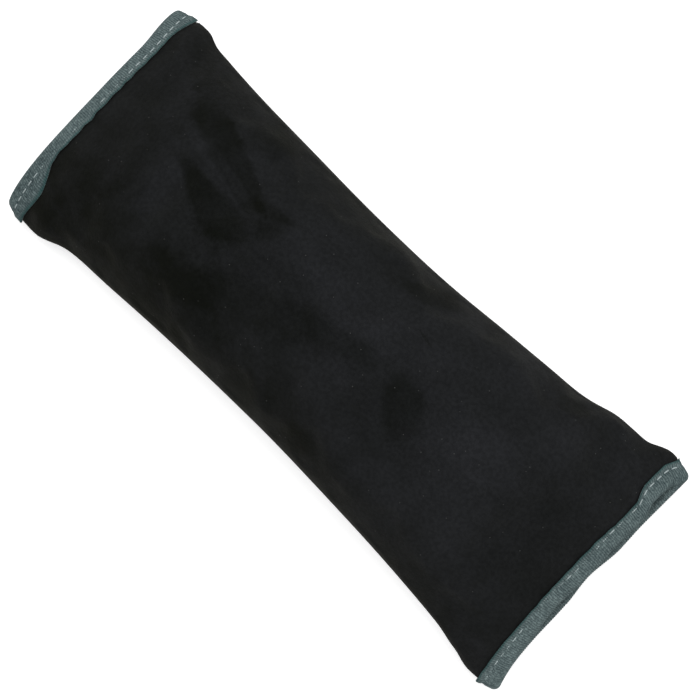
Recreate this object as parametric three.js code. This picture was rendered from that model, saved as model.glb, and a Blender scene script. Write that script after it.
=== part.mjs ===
// Seat belt shoulder pad for a child: a stuffed velour cushion with a belt channel along its back.
//
// The front panel is domed over a fibre filling, which a lining closes from below. Two back flaps reach
// round from the side seams and overlap under the cushion, where a hook tape and a loop tape hold them
// together. The belt lies between the lining and the flaps, and comes out of an open mouth at each end.
// A folded knit binding covers the raw edges of each mouth.
//
// The pad lies on its back. X runs along it, towards the wider end, Z is up, and the origin is on the
// table under the middle. Sizes are in millimetres.
import * as THREE from "three";

// Outline of the cushion, from above
const LENGTH = 294; // between the furthest corners of the two hems
const WAIST_WIDTH = 96;
const WIDE_END_WIDTH = 122.5;
const SLIM_END_WIDTH = 113;
const WIDE_FLARE_POWER = 1.85;
const SLIM_FLARE_POWER = 2.6;
const WIDE_EAR = 2.8; // how far each corner of a hem stands out past the end of the filling
const SLIM_EAR = 2.3;
const WIDE_EAR_INSET = 19; // from the hem to the middle of that step
const SLIM_EAR_INSET = 21.5;
const EAR_RUN = 11;
const CORNER_PULL = 1.9; // how far the binding draws the last of each corner in
const CORNER_PULL_RUN = 9;

// Height of the cushion
const CROWN_HEIGHT = 54;
const CROWN_POWER = 2.5;
const SLIM_MOUTH_GAPE = 2.5; // the slim end stands open by this much more
const SEAM_SHARE = 0.4; // height of the side seam as a share of the crown
const WAIST_ROLL = 21; // how far the back rounds up towards the seam, at the waist
const END_ROLL = 13; // and at the mouths

// Uneven filling: a long and a short swell run along the front, each slanting across it
const SWELLS = [
  { height: 0.7, pitch: 88, crest: 85, slant: 0.5 },
  { height: 0.5, pitch: 71, crest: 20, slant: -2.3 },
];

// Cloth and closure
const VELOUR = 1.8; // pile, knit ground and fleece backing
const LINING = 0.6;
const BINDING = 0.8;
const BINDING_WIDTH = 9;
const FOLD_DEPTH = 2.2; // how far the round of the folded binding reaches in
const EASE = 0.3; // clearance between neighbouring layers
const BELT_ROOM = 6; // height left free for the belt inside the mouths
const FLAP_OVERLAP = 28;
const FLAP_RAMP = 7; // run over which the upper flap climbs onto the lower one
const FLAP_EDGE_ROOM = 1; // from the lower flap's edge to the foot of that climb
const HOOK_TAPE = 1.2;
const TAPE_WIDTH = 20;
const TAPE_CORNER = 3;
const TAPE_INSET = 24; // from the hem to the end of each tape

// Hem edge, seen from above: what the round of the cushion takes out of its reach in the middle, and how
// far the shorter corner, on the hook side of the wide hem and the loop side of the slim one, hangs back
const WIDE_FRONT_TAKE_UP = 5;
const WIDE_BACK_TAKE_UP = 3.5;
const SLIM_TAKE_UP = 1.3;
const WIDE_CORNER_DRAW = 3;
const SLIM_CORNER_DRAW = 2.3;

// Filling and lining
const FILLING_ROOM = 3; // from the binding's edge to the filling
const LINING_DROP_RUN = 24; // run over which the lining comes down from the hem to the belt channel
const FLAT_SHARE = 0.65; // share of the lining's width that lies flat over the belt
const LINING_TUCK = 1.5; // how far under the side seam the lining's edge lies
const BASE_LIFT_RUN = 8; // run over which the back comes down to the table behind the binding

// Steps of the meshes
const HEM_STEPS = 4;
const BODY_STEPS = 12;
const FRONT_STEPS = 20;
const ROLL_STEPS = 5;
const RAMP_STEPS = 4;
const FOLD_STEPS = 6;

// Layers, worked out from the cloth: depth runs from the velour's face into the pad
const FRONT_STACK = VELOUR + EASE + LINING; // in the front half of each hem; the flaps are velour alone
const LEG = EASE + BINDING;
const HEM_INSET = FOLD_DEPTH + EASE; // from the fold of the binding to the raw edges inside it
const FILLING_INSET = BINDING_WIDTH + FILLING_ROOM;
const HEM_RUN = BINDING_WIDTH + LINING_DROP_RUN; // how far in the form of the hem reaches
const FLAP_LIFT = VELOUR + 2 * LEG + EASE;
const CHANNEL_TOP = LEG + FLAP_LIFT + VELOUR + LEG + BELT_ROOM;
const MOUTH_CROWN = CHANNEL_TOP + LEG + FRONT_STACK;

const WIDE = 1;
const SLIM = -1;

const { lerp, smoothstep } = THREE.MathUtils;
const endOf = (t) => (t < 0 ? SLIM : WIDE);
const toHem = (t) => (1 - Math.abs(t)) * (LENGTH / 2);

// Half the width of the pad where t runs from -1 at the slim hem to 1 at the wide hem.
function halfWidth(t) {
  const wide = endOf(t) === WIDE;
  const ear = wide ? WIDE_EAR : SLIM_EAR;
  const earInset = wide ? WIDE_EAR_INSET : SLIM_EAR_INSET;
  const power = wide ? WIDE_FLARE_POWER : SLIM_FLARE_POWER;
  const flare = (wide ? WIDE_END_WIDTH : SLIM_END_WIDTH) / 2 - ear - WAIST_WIDTH / 2;
  const filled = 1 - earInset / (LENGTH / 2);
  const past = 1 - smoothstep(toHem(t), earInset - EAR_RUN / 2, earInset + EAR_RUN / 2);
  const pull = CORNER_PULL * (1 - smoothstep(toHem(t), 0, CORNER_PULL_RUN));
  return WAIST_WIDTH / 2 + flare * Math.min(1, Math.abs(t) / filled) ** power + ear * past - pull;
}

// Height of the velour's crown, of the side seam and of the back, along the middle of the pad.
function crownHeight(t) {
  const mouth = MOUTH_CROWN + (endOf(t) === SLIM ? SLIM_MOUTH_GAPE * Math.abs(t) : 0);
  return mouth + (CROWN_HEIGHT - MOUTH_CROWN) * (1 - Math.abs(t) ** CROWN_POWER);
}
const seamHeight = (t) => SEAM_SHARE * crownHeight(t);
const baseHeight = (t) =>
  LEG * (1 - smoothstep(toHem(t), BINDING_WIDTH, BINDING_WIDTH + BASE_LIFT_RUN));

// Half the flat width of the back, inside the rolls that climb to the seams.
const baseHalf = (t) => halfWidth(t) - lerp(WAIST_ROLL, END_ROLL, t * t);

// Reach of the hem from the middle, at v across the pad, from -1 to 1 between the seams.
function hemReach(end, v, onFront) {
  const corner = v ** 4;
  const wide = end === WIDE;
  const draw = ((wide ? WIDE_CORNER_DRAW : SLIM_CORNER_DRAW) * (1 + end * v)) / 2;
  const wideTakeUp = onFront ? WIDE_FRONT_TAKE_UP : WIDE_BACK_TAKE_UP;
  return LENGTH / 2 - draw * corner - (wide ? wideTakeUp : SLIM_TAKE_UP) * (1 - corner);
}

// Share of the crown that the front keeps at v: an ellipse at the waist, a flatter arch at the mouths.
function archShare(t, v) {
  const end = Math.abs(t) ** 3;
  return Math.max(0, 1 - Math.abs(v) ** (2 + end)) ** (0.5 + 0.25 * end);
}

// How far the filling lifts the front over its plain form.
function swell(t, v) {
  const held = smoothstep(toHem(t), BINDING_WIDTH, HEM_RUN) * (1 - v * v);
  const x = (t * LENGTH) / 2;
  const waves = SWELLS.map(
    ({ height, pitch, crest, slant }) => height * Math.cos((2 * Math.PI * (x - crest)) / pitch + slant * v),
  );
  return held * waves.reduce((sum, wave) => sum + wave);
}

// Places round the pad. A front place is an angle from the crown; a back place is on the flap of one
// side, first turning down from the seam and then at a distance from the centre line.
const frontPlaces = () =>
  Array.from({ length: FRONT_STEPS + 1 }, (_, i) => ({
    front: true,
    angle: Math.PI * (i / FRONT_STEPS - 0.5),
  }));

function flapPlaces(side) {
  const places = [];
  for (let i = 0; i <= ROLL_STEPS; i++)
    places.push({ side, turn: (i / ROLL_STEPS) * (Math.PI / 2), lift: 0 });
  const rampTop = FLAP_OVERLAP / 2 + FLAP_EDGE_ROOM;
  if (side === 1)
    for (let i = 0; i <= RAMP_STEPS; i++) {
      const share = i / RAMP_STEPS;
      const lift = FLAP_LIFT * smoothstep(share, 0, 1);
      places.push({ side, across: rampTop + FLAP_RAMP * (1 - share), lift });
    }
  places.push({ side, across: -FLAP_OVERLAP / 2, lift: side === 1 ? FLAP_LIFT : 0 });
  return places;
}

// The point of the pad's skin at t, at a place and a depth under the velour's face.
function skin(t, place, depth) {
  const half = halfWidth(t);
  const seam = seamHeight(t);
  let v, y, z;
  if (place.front) {
    v = Math.sin(place.angle);
    y = (half - depth) * v;
    z = seam + (crownHeight(t) - seam - depth) * archShare(t, v) + swell(t, v);
  } else if (place.across === undefined) {
    const flat = baseHalf(t);
    const base = baseHeight(t);
    v = (place.side * (flat + (half - flat) * Math.cos(place.turn))) / half;
    y = place.side * (flat + (half - flat - depth) * Math.cos(place.turn));
    z = seam - (seam - base - depth) * Math.sin(place.turn);
  } else {
    y = place.side * Math.min(place.across, baseHalf(t));
    v = y / half;
    z = baseHeight(t) + place.lift + depth;
  }
  return new THREE.Vector3(t * hemReach(endOf(t), v, Boolean(place.front)), y, z);
}

// The t that lies a distance in from the hem's fold, measured along the cloth.
function inset(end, place, distance) {
  const steps = 8;
  const nudge = 1e-3;
  let t = end;
  for (let i = 0; i < steps; i++) {
    const run = skin(t, place, 0).distanceTo(skin(t - end * nudge, place, 0)) / nudge;
    t -= (end * distance) / steps / run;
  }
  return t;
}

// Rows of the cloth from the slim hem to the wide hem, as functions of the place.
function clothRows(firstInset) {
  const pastBinding = Array.from({ length: HEM_STEPS + 1 }, (_, i) =>
    lerp(FILLING_INSET, HEM_RUN, i / HEM_STEPS),
  );
  const rows = [BINDING_WIDTH / 2, BINDING_WIDTH, ...pastBinding];
  const hem = [firstInset, ...rows.filter((row) => row > firstInset)];
  const last = hem[hem.length - 1];
  const body = [];
  for (let i = 1; i < BODY_STEPS; i++)
    body.push((place) => lerp(inset(SLIM, place, last), inset(WIDE, place, last), i / BODY_STEPS));
  return [
    ...hem.map((row) => (place) => inset(SLIM, place, row)),
    ...body,
    ...hem.reverse().map((row) => (place) => inset(WIDE, place, row)),
  ];
}

// A closed solid between two faces, 0 and 1. Each face is a grid of columns and rows.
function slab(columns, rows, pointAt) {
  const ring = [...columns.map((column) => [column, 0]), ...columns.map((column) => [column, 1]).reverse()];
  const points = rows.flatMap((row) => ring.map(([column, face]) => pointAt(column, row, face)));
  const triangles = [];
  function quad(a, b, c, d) {
    const acrossShorter = points[a].distanceTo(points[c]) < points[b].distanceTo(points[d]);
    triangles.push(...(acrossShorter ? [a, b, c, a, c, d] : [a, b, d, b, c, d]));
  }
  const n = ring.length;
  for (let j = 0; j + 1 < rows.length; j++)
    for (let i = 0; i < n; i++) {
      const [a, b] = [j * n + i, j * n + ((i + 1) % n)];
      quad(a, b, b + n, a + n);
    }
  const last = (rows.length - 1) * n;
  for (let i = 0; i + 1 < columns.length; i++) {
    quad(n - 1 - i, n - 2 - i, i + 1, i);
    quad(last + i, last + i + 1, last + n - 2 - i, last + n - 1 - i);
  }
  let volume = 0;
  for (let k = 0; k < triangles.length; k += 3) {
    const [a, b, c] = triangles.slice(k, k + 3).map((corner) => points[corner]);
    volume += a.dot(b.clone().cross(c));
  }
  const geometry = new THREE.BufferGeometry().setFromPoints(points);
  geometry.setIndex(volume < 0 ? triangles.reverse() : triangles);
  geometry.computeVertexNormals();
  return geometry;
}

// A layer of velour, following the skin.
const velourLayer = (places) =>
  slab(places, clothRows(HEM_INSET), (place, row, face) => skin(row(place), place, face * VELOUR));

// Height of the lining's lower face over the belt: flat in the middle, rounding down to the seams.
function beltCeiling(t, v) {
  const edge = seamHeight(t) - LINING_TUCK;
  const past = Math.max(0, Math.abs(v) - FLAT_SHARE) / (1 - FLAT_SHARE);
  return edge + (CHANNEL_TOP - edge) * Math.sqrt(1 - past * past);
}

// The lining lies against the front in the hem, and comes down to the belt channel inside it.
function liningPoint(t, place, rise) {
  const v = Math.sin(place.angle);
  const inHem = skin(t, place, FRONT_STACK - rise);
  const half = halfWidth(t) - FRONT_STACK - EASE;
  const overBelt = new THREE.Vector3(inHem.x, half * v, beltCeiling(t, v) + rise);
  const run = THREE.MathUtils.clamp((toHem(t) - BINDING_WIDTH) / LINING_DROP_RUN, 0, 1);
  return inHem.lerp(overBelt, Math.sin((run * Math.PI) / 2));
}

const beltLining = () =>
  slab(frontPlaces(), clothRows(HEM_INSET), (place, row, face) =>
    liningPoint(row(place), place, face * LINING),
  );

// The filling lies between the front panel and the lining, and stops short of the stitched hems.
const filling = () =>
  slab(frontPlaces(), clothRows(FILLING_INSET), (place, row, face) =>
    face ? skin(row(place), place, VELOUR + EASE) : liningPoint(row(place), place, LINING + EASE),
  );

// The binding's section, from the edge of its outer leg, round the fold, to the edge of its inner leg.
function bindingColumns() {
  const leg = (angle) => [BINDING_WIDTH, BINDING_WIDTH / 2].map((row) => ({ row, angle }));
  const fold = Array.from({ length: FOLD_STEPS + 1 }, (_, i) => ({
    angle: Math.PI * (i / FOLD_STEPS - 0.5),
  }));
  return [...leg(-Math.PI / 2), ...fold, ...leg(Math.PI / 2).reverse()];
}

// One folded strip runs from the edge of the loop flap, over the front, to the edge of the hook flap.
function binding(end) {
  const loopSide = flapPlaces(-1).slice(1).reverse();
  const hookSide = flapPlaces(1).slice(1);
  return slab(bindingColumns(), [...loopSide, ...frontPlaces(), ...hookSide], (column, place, face) => {
    const middle = (place.front ? FRONT_STACK : VELOUR) / 2;
    const reach = face ? FOLD_DEPTH - BINDING : FOLD_DEPTH;
    const row = column.row ?? FOLD_DEPTH - reach * Math.cos(column.angle);
    const depth = middle + (middle + (face ? EASE : LEG)) * Math.sin(column.angle);
    return skin(inset(end, place, row), place, depth);
  });
}

// A tape with rounded corners, lying flat from the height bottom to the height top.
function tape(bottom, top) {
  const [x, y] = [LENGTH / 2 - TAPE_INSET, TAPE_WIDTH / 2];
  const shape = new THREE.Shape();
  shape.absarc(x - TAPE_CORNER, y - TAPE_CORNER, TAPE_CORNER, 0, Math.PI / 2);
  shape.absarc(TAPE_CORNER - x, y - TAPE_CORNER, TAPE_CORNER, Math.PI / 2, Math.PI);
  shape.absarc(TAPE_CORNER - x, TAPE_CORNER - y, TAPE_CORNER, Math.PI, 1.5 * Math.PI);
  shape.absarc(x - TAPE_CORNER, TAPE_CORNER - y, TAPE_CORNER, 1.5 * Math.PI, 2 * Math.PI);
  const geometry = new THREE.ExtrudeGeometry(shape, {
    depth: top - bottom,
    bevelEnabled: false,
    curveSegments: 4,
  });
  return geometry.translate(0, 0, bottom);
}

const velour = new THREE.MeshStandardMaterial({ color: 0x17171a, roughness: 0.95 });
const knit = new THREE.MeshStandardMaterial({ color: 0x566868, roughness: 0.9 });
const liningCloth = new THREE.MeshStandardMaterial({ color: 0x4d5b5c, roughness: 0.9 });
const fibre = new THREE.MeshStandardMaterial({ color: 0xeceae4, roughness: 1 });
const blackTape = new THREE.MeshStandardMaterial({ color: 0x101012, roughness: 0.8 });

const pad = new THREE.Group();
function add(name, geometry, material) {
  const mesh = new THREE.Mesh(geometry, material);
  mesh.name = name;
  pad.add(mesh);
}

add("front_panel", velourLayer(frontPlaces()), velour);
add("filling", filling(), fibre);
add("belt_lining", beltLining(), liningCloth);
add("loop_flap", velourLayer(flapPlaces(-1)), velour);
add("hook_flap", velourLayer(flapPlaces(1)), velour);
add("loop_tape", tape(VELOUR, FLAP_LIFT - HOOK_TAPE), blackTape);
add("hook_tape", tape(FLAP_LIFT - HOOK_TAPE, FLAP_LIFT), blackTape);
add("wide_end_binding", binding(WIDE), knit);
add("slim_end_binding", binding(SLIM), knit);

export default pad;
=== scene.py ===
"""A stuffed velour pad for a seat belt, lying on its back.

Lengths are in metres. The pad runs along X, with its wider end at +X, and Z is up. A place on its skin
is given by t, from -1 at the slim hem to 1 at the wide hem, by a turn round the pad, and by a depth under
the velour's face. At a turn, v runs across the pad, from -1 at the loop flap's seam to 1 at the hook
flap's.
"""

import functools
import math

import bmesh
import bpy
from mathutils import Matrix, Vector, noise


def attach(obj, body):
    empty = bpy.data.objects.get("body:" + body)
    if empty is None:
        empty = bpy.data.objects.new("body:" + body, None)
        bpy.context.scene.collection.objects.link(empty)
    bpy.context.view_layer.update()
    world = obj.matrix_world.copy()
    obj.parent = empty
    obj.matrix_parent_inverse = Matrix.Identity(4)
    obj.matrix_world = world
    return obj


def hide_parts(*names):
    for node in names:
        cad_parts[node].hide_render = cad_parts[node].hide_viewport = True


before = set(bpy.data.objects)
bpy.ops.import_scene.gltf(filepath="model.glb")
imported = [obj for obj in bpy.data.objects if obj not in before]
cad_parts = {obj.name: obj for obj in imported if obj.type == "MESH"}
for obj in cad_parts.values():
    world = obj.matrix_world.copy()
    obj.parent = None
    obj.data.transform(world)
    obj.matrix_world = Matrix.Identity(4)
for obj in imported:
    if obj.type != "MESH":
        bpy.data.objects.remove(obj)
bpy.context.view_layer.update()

MM = 0.001

# Outline of the cushion, from above
LENGTH = 294 * MM
WAIST_WIDTH = 96 * MM
WIDE_END_WIDTH = 122.5 * MM
SLIM_END_WIDTH = 113 * MM
WIDE_FLARE_POWER = 1.85
SLIM_FLARE_POWER = 2.6
WIDE_EAR = 2.8 * MM
SLIM_EAR = 2.3 * MM
WIDE_EAR_INSET = 19 * MM
SLIM_EAR_INSET = 21.5 * MM
EAR_RUN = 11 * MM
CORNER_PULL = 1.9 * MM
CORNER_PULL_RUN = 9 * MM

# Height of the cushion
CROWN_HEIGHT = 54 * MM
CROWN_POWER = 2.5
SLIM_MOUTH_GAPE = 2.5 * MM
SEAM_SHARE = 0.4
WAIST_ROLL = 21 * MM
END_ROLL = 13 * MM

# Uneven filling: height, pitch, crest and slant of a long and a short swell along the front
SWELLS = (
    (0.7 * MM, 88 * MM, 85 * MM, 0.5),
    (0.5 * MM, 71 * MM, 20 * MM, -2.3),
)

# Cloth and closure
VELOUR = 1.8 * MM
LINING = 0.6 * MM
BINDING = 0.8 * MM
BINDING_WIDTH = 9 * MM
FOLD_DEPTH = 2.2 * MM
EASE = 0.3 * MM
BELT_ROOM = 6 * MM
FLAP_OVERLAP = 28 * MM
FLAP_RAMP = 7 * MM
FLAP_EDGE_ROOM = 1 * MM
TAPE_WIDTH = 20 * MM
TAPE_INSET = 24 * MM

# Hem edge, seen from above
WIDE_FRONT_TAKE_UP = 5 * MM
WIDE_BACK_TAKE_UP = 3.5 * MM
SLIM_TAKE_UP = 1.3 * MM
WIDE_CORNER_DRAW = 3 * MM
SLIM_CORNER_DRAW = 2.3 * MM

# Filling and lining
FILLING_ROOM = 3 * MM
LINING_DROP_RUN = 24 * MM
FLAT_SHARE = 0.65
LINING_TUCK = 1.5 * MM
BASE_LIFT_RUN = 8 * MM

# Layers
FRONT_STACK = VELOUR + EASE + LINING
LEG = EASE + BINDING
HEM_INSET = FOLD_DEPTH + EASE
FILLING_INSET = BINDING_WIDTH + FILLING_ROOM
HEM_RUN = BINDING_WIDTH + LINING_DROP_RUN
FLAP_LIFT = VELOUR + 2 * LEG + EASE
CHANNEL_TOP = LEG + FLAP_LIFT + VELOUR + LEG + BELT_ROOM
MOUTH_CROWN = CHANNEL_TOP + LEG + FRONT_STACK

# Slack of the sewn cloth, which the drawing above leaves out
BOW = 0.7 * MM  # how far the middle of the pad strays towards the loop flap's side
SIDE_BULGES = (  # side, place and run along the pad, and how far it bulges there
    (1, -126 * MM, 7 * MM, -0.5 * MM),
    (1, -62 * MM, 30 * MM, 0.7 * MM),
    (1, 48 * MM, 20 * MM, 0.5 * MM),
    (1, 90 * MM, 12 * MM, -0.8 * MM),
    (1, 107 * MM, 8 * MM, 1 * MM),
    (1, 127 * MM, 7 * MM, -1 * MM),
    (-1, -122 * MM, 6 * MM, 1.8 * MM),
    (-1, -107 * MM, 14 * MM, -0.9 * MM),
    (-1, 40 * MM, 30 * MM, 0.4 * MM),
    (-1, 122 * MM, 7 * MM, 1.1 * MM),
)
HOOK_CORNER_TUCK = 1.5 * MM  # how far the hook side corners are drawn in under their bands
TUCK_START = 0.5
TUCK_RUN = 3 * MM
HOOK_CORNER_LIFT = 4.5 * MM  # how far the wide back hem curls up towards the front beside its corner
HOOK_CORNER_LIFT_RUN = 18 * MM
HOOK_CORNER_LIFT_START = 0.45
HOOK_CORNER_LIFT_FULL = 0.8
GATHER_HEIGHT = 0.4 * MM
GATHER_PITCH = 7.5 * MM
GATHER_RUN = 12 * MM
GATHER_WANDER = 4  # radians by which the gathers stray from an even pitch
GATHER_WANDER_RUN = 18 * MM
GATHER_LEVEL = 0.7
GATHER_UNEVENNESS = 1.4
GATHER_UNEVEN_RUN = 9 * MM
HOOK_CORNER_PULL = 2.4 * MM  # how far the wide front hem hangs back beside its hook side corner
HOOK_CORNER_PULL_START = 0.56
HOOK_CORNER_PULL_FULL = 0.72
HOOK_CORNER_PULL_END = 0.88
HOOK_HALF_NARROWING = 1.2 * MM  # how much narrower the band is pulled there
HOOK_HALF_PLACE = 0.5
HOOK_HALF_SPREAD = 0.24
# Where the back hem shows beyond the front one: place across the pad, spread, front's and back's share
BACK_SHOWS = (
    (-0.32, 0.2, 1.5 * MM, 0.2 * MM),
    (0.3, 0.14, 0.5 * MM, 0.4 * MM),
)
LOOP_HALF_EASE = 0.8 * MM  # how much further the loop side half of the wide front hem reaches
LOOP_HALF_FULL = 0.6
FLAP_EDGE_DENT = 1.3 * MM  # how far the overlapping flaps hang back in the wide mouth
FLAP_EDGE_SPREAD = 0.17
SLIM_CORNER_FLARE = 1.8 * MM  # how far the slim hem's hook side corner is stretched out
SLIM_CORNER_FLARE_START = 0.55
SLIM_CORNER_FLARE_FULL = 0.95
SLIM_CORNER_EXTRA = 2.4 * MM  # extra width of the slim band at that corner
LOOSE_CORNER = 6 * MM  # and beside its loop side corner
LOOSE_CORNER_END = 3.2 * MM
LOOSE_CORNER_START = -0.46
LOOSE_CORNER_FULL = -0.74
CORNER_START = 0.75  # where the slim band's corners begin, across the pad
PINCH = 0.5 * MM  # how much narrower the band is pulled beside its loose corner
PINCH_PLACE = -0.42
PINCH_SPREAD = 0.08
BAND_UNEVENNESS = 0.3 * MM
BAND_UNEVEN_RUN = 14 * MM
LINING_END = 0.2  # share of a side's roll over which the lining thins out of the stack

# Ribs of the binding and its running stitch
RIB_PITCH = 1 * MM
RIB_HEIGHT = 0.24 * MM
RIB_ROUNDNESS = 0.8
RIB_FOOT = 0.6  # share of a rib's height that lies under the band's face
STATIONS_PER_RIB = 5
STITCH_PITCH = 4.1 * MM
STITCH_LENGTH = 2.7 * MM
STITCH_INSET = 6.3 * MM
STITCH_SINK = 0.5 * MM
STITCH_VALLEY = 1 * MM
STITCH_SAG = 0.12 * MM
NEEDLE_HOLE = 0.4  # share of the valley's depth that is reached only at the needle holes
PUCKER_HEIGHT = 0.45 * MM
PUCKER_LEVEL = 0.35
PUCKER_START_RUN = 1.2 * MM
PUCKER_LENGTH = 2.3 * MM
PUCKER_WIDTH = 3.5 * MM
THREAD_RADIUS = 0.28 * MM
THREAD_SHOWING = 0.5  # share of the thread's radius that stands out of the valley
STITCH_BURIAL = 0.6 * MM  # how much deeper the stitches sink into the knit away from the corners
BURIAL_LEVEL = 0.75
BURIAL_UNEVENNESS = 0.9
BURIAL_RUN = 2.3  # stitches
STITCHES_START = 0.4
STITCHES_FULL = 0.8
TAPE_STITCH_END = 2 * MM
TAPE_STITCH_INSET = 1.5 * MM
TAPE_STITCH_SINK = 0.12 * MM

# Places in the noise field, so that each unevenness has its own
WANDER_SEED = 2.2
GATHER_SEED = 6.4
BAND_SEED = 5.1
PUCKER_SEED = 1.7
BURIAL_SEED = 8.6

# Fineness of the meshes
FRONT_GRID = (130, 72)
BACK_GRID = (120, 64)
FILLING_ROWS = 90
FILLING_COLUMNS = 80
HEM_SAMPLES = 600
INSET_STEPS = 20
REACH_STEPS = 24
REACH_MARGIN = 1.3
OUTER_STEPS = 14
FOLD_STEPS = 10
INNER_STEPS = 8
INSIDE_STRIDE = 2
VELOUR_EDGE_ROUND = 0.7 * MM
LINING_EDGE_ROUND = 0.15 * MM
TINY = MM / 1000

WIDE = 1
SLIM = -1


# Turns round the pad: whole numbers where one piece or bend ends and the next begins
LOOP_EDGE, LOOP_ROLL, LOOP_SEAM, HOOK_SEAM, HOOK_ROLL, HOOK_EDGE = range(6)


def lerp(a, b, share):
    return a + (b - a) * share


def smoothstep(x, low, high):
    share = min(1.0, max(0.0, (x - low) / (high - low)))
    return share * share * (3 - 2 * share)


def bell(x, middle, spread):
    return math.exp(-(((x - middle) / spread) ** 2))


def table_lookup(x, xs, ys):
    """The y at x, between the points of a table whose xs rise."""
    low, high = 0, len(xs) - 1
    while high - low > 1:
        middle = (low + high) // 2
        if xs[middle] <= x:
            low = middle
        else:
            high = middle
    return lerp(ys[low], ys[high], (x - xs[low]) / (xs[high] - xs[low]))


def end_of(t):
    return SLIM if t < 0 else WIDE


def to_hem(t):
    return (1 - abs(t)) * LENGTH / 2


# Form of the pad
def half_width(t):
    wide = end_of(t) == WIDE
    ear = WIDE_EAR if wide else SLIM_EAR
    ear_inset = WIDE_EAR_INSET if wide else SLIM_EAR_INSET
    power = WIDE_FLARE_POWER if wide else SLIM_FLARE_POWER
    flare = (WIDE_END_WIDTH if wide else SLIM_END_WIDTH) / 2 - ear - WAIST_WIDTH / 2
    filled = 1 - ear_inset / (LENGTH / 2)
    past = 1 - smoothstep(to_hem(t), ear_inset - EAR_RUN / 2, ear_inset + EAR_RUN / 2)
    pull = CORNER_PULL * (1 - smoothstep(to_hem(t), 0, CORNER_PULL_RUN))
    return WAIST_WIDTH / 2 + flare * min(1, abs(t) / filled) ** power + ear * past - pull


def crown_height(t):
    mouth = MOUTH_CROWN + (SLIM_MOUTH_GAPE * abs(t) if end_of(t) == SLIM else 0)
    return mouth + (CROWN_HEIGHT - MOUTH_CROWN) * (1 - abs(t) ** CROWN_POWER)


def seam_height(t):
    return SEAM_SHARE * crown_height(t)


def base_height(t):
    return LEG * (1 - smoothstep(to_hem(t), BINDING_WIDTH, BINDING_WIDTH + BASE_LIFT_RUN))


def base_half(t):
    return half_width(t) - lerp(WAIST_ROLL, END_ROLL, t * t)


def hem_reach(end, v, on_front):
    """Reach of the hem from the middle of the pad."""
    corner = v**4
    if end == SLIM:
        flare = SLIM_CORNER_FLARE * smoothstep(v, SLIM_CORNER_FLARE_START, SLIM_CORNER_FLARE_FULL)
        drawn = SLIM_CORNER_DRAW * (1 - v) / 2 * corner
        return LENGTH / 2 + flare - drawn - SLIM_TAKE_UP * (1 - corner)
    pulled = 0
    if on_front:
        take_up = WIDE_FRONT_TAKE_UP - LOOP_HALF_EASE * smoothstep(-v, 0, LOOP_HALF_FULL)
        pulled = HOOK_CORNER_PULL * smoothstep(v, HOOK_CORNER_PULL_START, HOOK_CORNER_PULL_FULL)
        pulled *= 1 - smoothstep(v, HOOK_CORNER_PULL_END, 1)
        pulled += sum(pull * bell(v, place, spread) for place, spread, pull, reach in BACK_SHOWS)
    else:
        take_up = WIDE_BACK_TAKE_UP + FLAP_EDGE_DENT * bell(v, 0, FLAP_EDGE_SPREAD)
        take_up -= sum(reach * bell(v, place, spread) for place, spread, pull, reach in BACK_SHOWS)
    drawn = WIDE_CORNER_DRAW * (1 + v) / 2 * corner
    return LENGTH / 2 - drawn - take_up * (1 - corner) - pulled


def arch_share(t, v):
    end = abs(t) ** 3
    return max(0, 1 - abs(v) ** (2 + end)) ** (0.5 + 0.25 * end)


def swell(t, v):
    """How far the filling lifts the front over its plain form."""
    held = smoothstep(to_hem(t), BINDING_WIDTH, HEM_RUN) * (1 - v * v)
    x = t * LENGTH / 2
    waves = [
        height * math.cos(2 * math.pi * (x - crest) / pitch + slant * v)
        for height, pitch, crest, slant in SWELLS
    ]
    return held * sum(waves)


def widening(end, v):
    """How much wider the front's bound strip is here than the others: loose or pinched by the corners."""
    if end == WIDE:
        pulls = [pull * bell(v, place, spread) for place, spread, pull, reach in BACK_SHOWS]
        return -HOOK_HALF_NARROWING * bell(v, HOOK_HALF_PLACE, HOOK_HALF_SPREAD) - sum(pulls)
    loose = LOOSE_CORNER * smoothstep(-v, -LOOSE_CORNER_START, -LOOSE_CORNER_FULL)
    loose = lerp(loose, LOOSE_CORNER_END, smoothstep(-v, CORNER_START, 1))
    extra = SLIM_CORNER_EXTRA * smoothstep(v, CORNER_START, 1)
    return loose + extra - PINCH * bell(v, PINCH_PLACE, PINCH_SPREAD)


def sway(t, v):
    """How far the cloth strays sideways: a bow of the whole pad, uneven sides and tucked corners."""
    x = t * LENGTH / 2
    bulge = sum(size * bell(x, place, run) for side, place, run, size in SIDE_BULGES if side * v > 0)
    past_band = to_hem(t) - BINDING_WIDTH - widening(end_of(t), v)
    bound = 1 - smoothstep(past_band, -TUCK_RUN / 2, TUCK_RUN / 2)
    tuck = HOOK_CORNER_TUCK * smoothstep(v, TUCK_START, 1) * bound
    return bulge * v * abs(v) - tuck - BOW * (1 - t * t)


def gathers(t, v, y):
    """How far the front rises and falls where it is gathered into the bindings."""
    end = end_of(t)
    wander = GATHER_WANDER * noise.noise(Vector((y / GATHER_WANDER_RUN, end, WANDER_SEED)))
    uneven = noise.noise(Vector((y / GATHER_UNEVEN_RUN, end, GATHER_SEED)))
    depth = GATHER_HEIGHT * (GATHER_LEVEL + GATHER_UNEVENNESS * uneven)
    past_band = max(0, to_hem(t) - BINDING_WIDTH)
    held = smoothstep(to_hem(t), FOLD_DEPTH, BINDING_WIDTH)
    fold = depth * math.cos(2 * math.pi * y / GATHER_PITCH + wander)
    return (1 - v * v) * fold * held * math.exp(-past_band / GATHER_RUN)


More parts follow.
